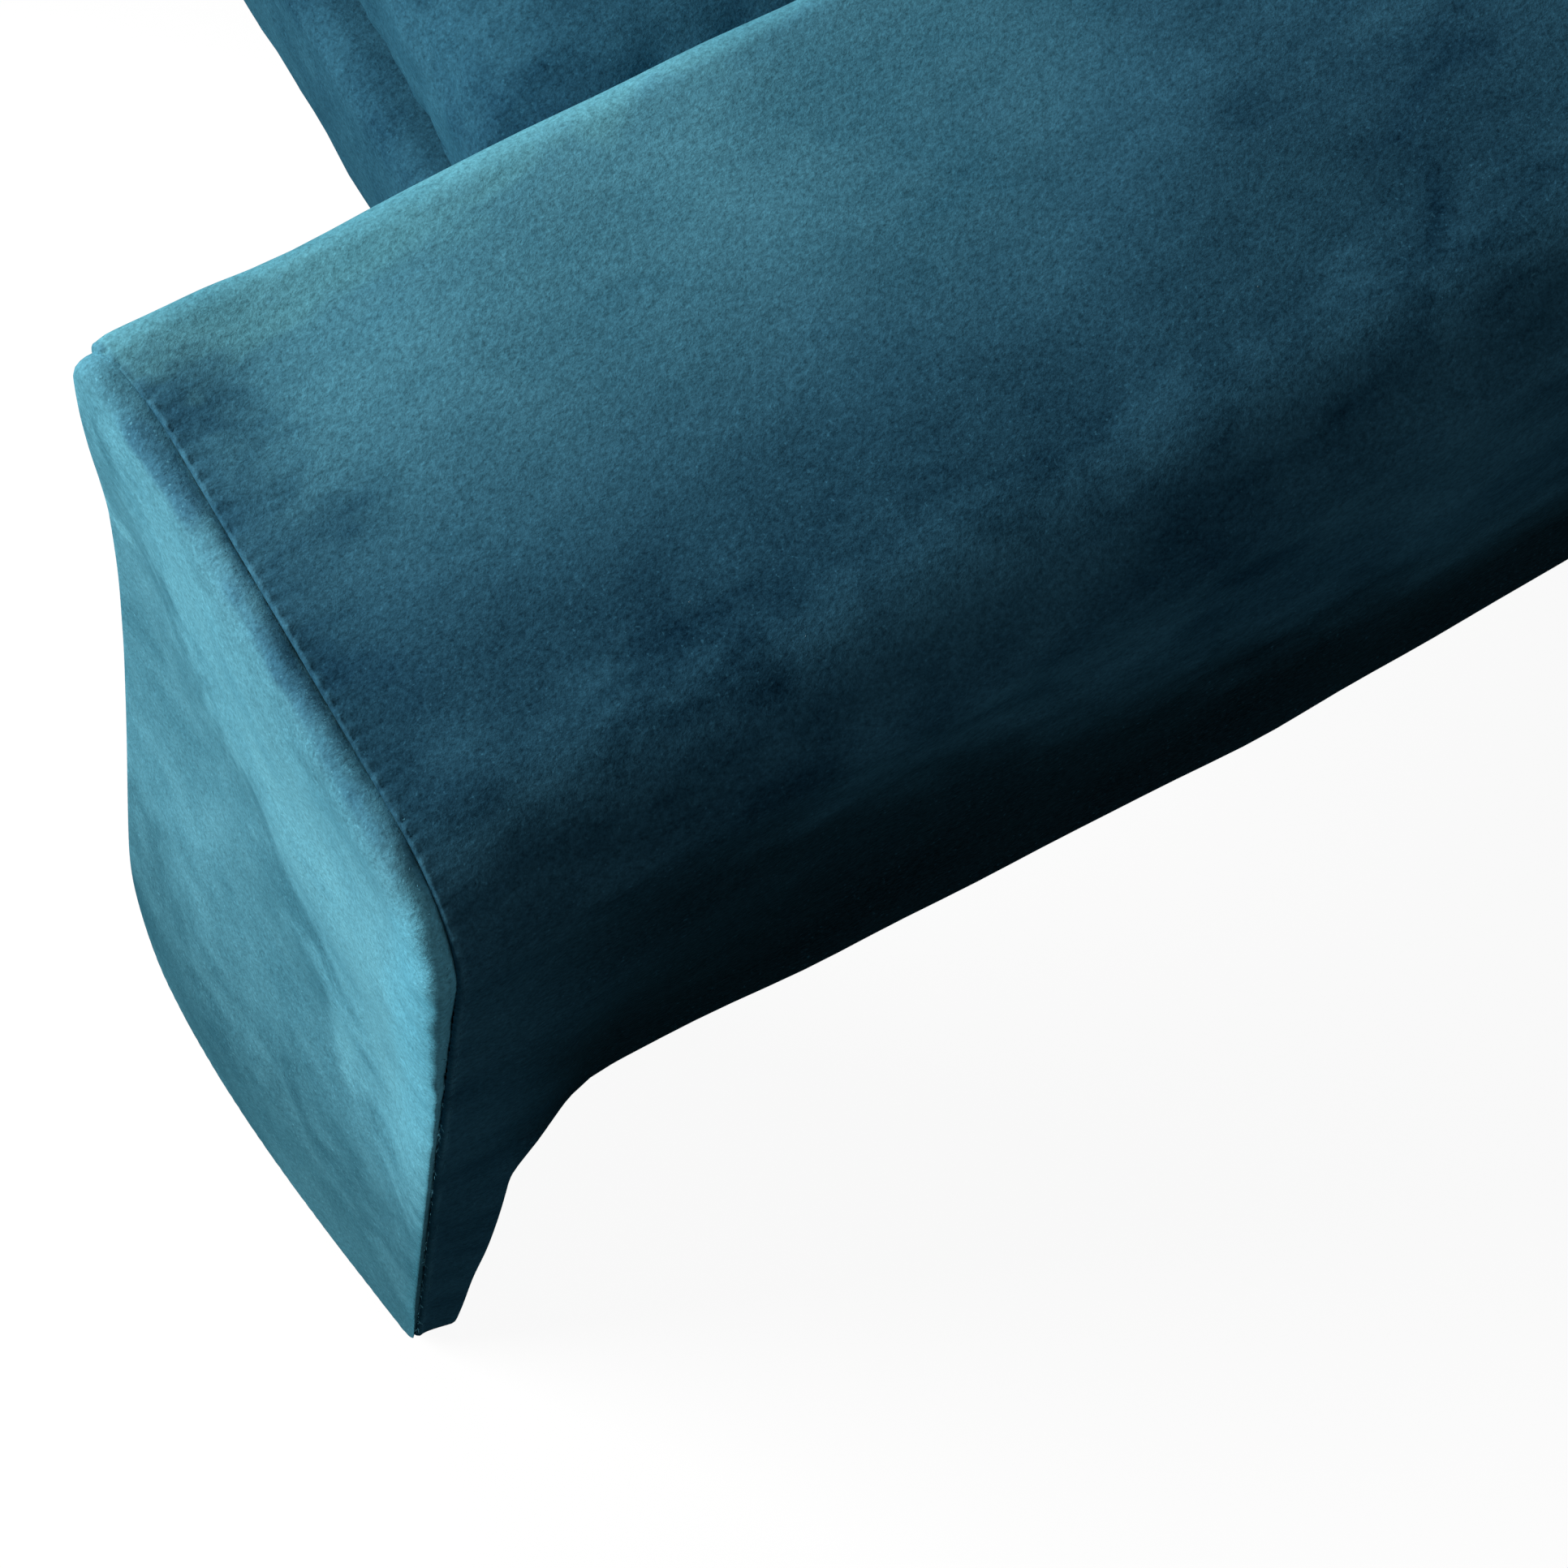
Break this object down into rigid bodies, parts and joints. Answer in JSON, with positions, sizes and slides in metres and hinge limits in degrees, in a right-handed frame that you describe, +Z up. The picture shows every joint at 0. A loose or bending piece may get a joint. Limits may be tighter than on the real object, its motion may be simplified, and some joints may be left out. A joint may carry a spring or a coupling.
{
  "type": "armchair",
  "caption": "Upholstered lounge armchair in plain velvet: broad boxy arms with sewn end panels, splayed slab legs and an arched lower edge, with a loose seat cushion and a raked back",
  "frame": {"origin": "centre of the footprint, on the floor under the glides", "axes": "+X to the sitter's left, the right side seen from in front; +Y to the rear; +Z up"},
  "size_m": [1.02, 0.93, 0.7376],
  "materials": {
    "velvet": "short pile cotton velvet, petrol blue",
    "velvet_panel": "the same velvet with its pile the other way, so it reads lighter",
    "foam": "open-cell upholstery foam",
    "felt": "needled felt",
    "black_cloth": "thin woven lining",
    "webbing": "elastic webbing",
    "plywood": "birch plywood, raw",
    "beech": "planed beech",
    "spring_steel": "drawn wire",
    "zinc_steel": "zinc plated",
    "nylon": "moulded nylon"
  },
  "bodies": {
    "root": {"arm_cover_right": "velvet", "arm_front_panel_right": "velvet_panel", "arm_rear_panel_right": "velvet_panel", "arm_arch_facing_right": "velvet", "arm_top_foam_right": "foam", "arm_outer_foam_right": "foam", "arm_inner_foam_right": "foam", "arm_end_foams_right": "foam", "arm_front_leg_board_right": "plywood", "arm_rear_leg_board_right": "plywood", "arm_top_board_right": "plywood", "arm_outer_rail_right": "plywood", "arm_inner_rail_right": "plywood", "arm_glue_blocks_right": "beech", "arm_cover_left": "velvet", "arm_front_panel_left": "velvet_panel", "arm_rear_panel_left": "velvet_panel", "arm_arch_facing_left": "velvet", "arm_top_foam_left": "foam", "arm_outer_foam_left": "foam", "arm_inner_foam_left": "foam", "arm_end_foams_left": "foam", "arm_front_leg_board_left": "plywood", "arm_rear_leg_board_left": "plywood", "arm_top_board_left": "plywood", "arm_outer_rail_left": "plywood", "arm_inner_rail_left": "plywood", "arm_glue_blocks_left": "beech", "seat_front_rail": "beech", "seat_rear_rail": "beech", "seat_side_rails": "beech", "seat_corner_blocks": "beech", "seat_springs": "spring_steel", "spring_clips": "zinc_steel", "spring_felt": "felt", "deck_foam": "foam", "deck_cloth": "black_cloth", "seat_front_pad": "foam", "seat_front_cover": "velvet", "dust_cover": "black_cloth", "cushion_core": "foam", "cushion_cover": "velvet", "back_stiles": "beech", "back_top_rail": "beech", "back_middle_rail": "beech", "back_lower_rail": "beech", "back_webbing": "webbing", "back_foam": "foam", "back_cover": "velvet", "back_outside_panel": "velvet_panel", "arm_bolts": "zinc_steel", "bolt_washers": "zinc_steel", "tee_nuts": "zinc_steel", "frame_screws": "zinc_steel", "glide_nails": "zinc_steel", "glides": "nylon"}
  },
  "joints": []
}
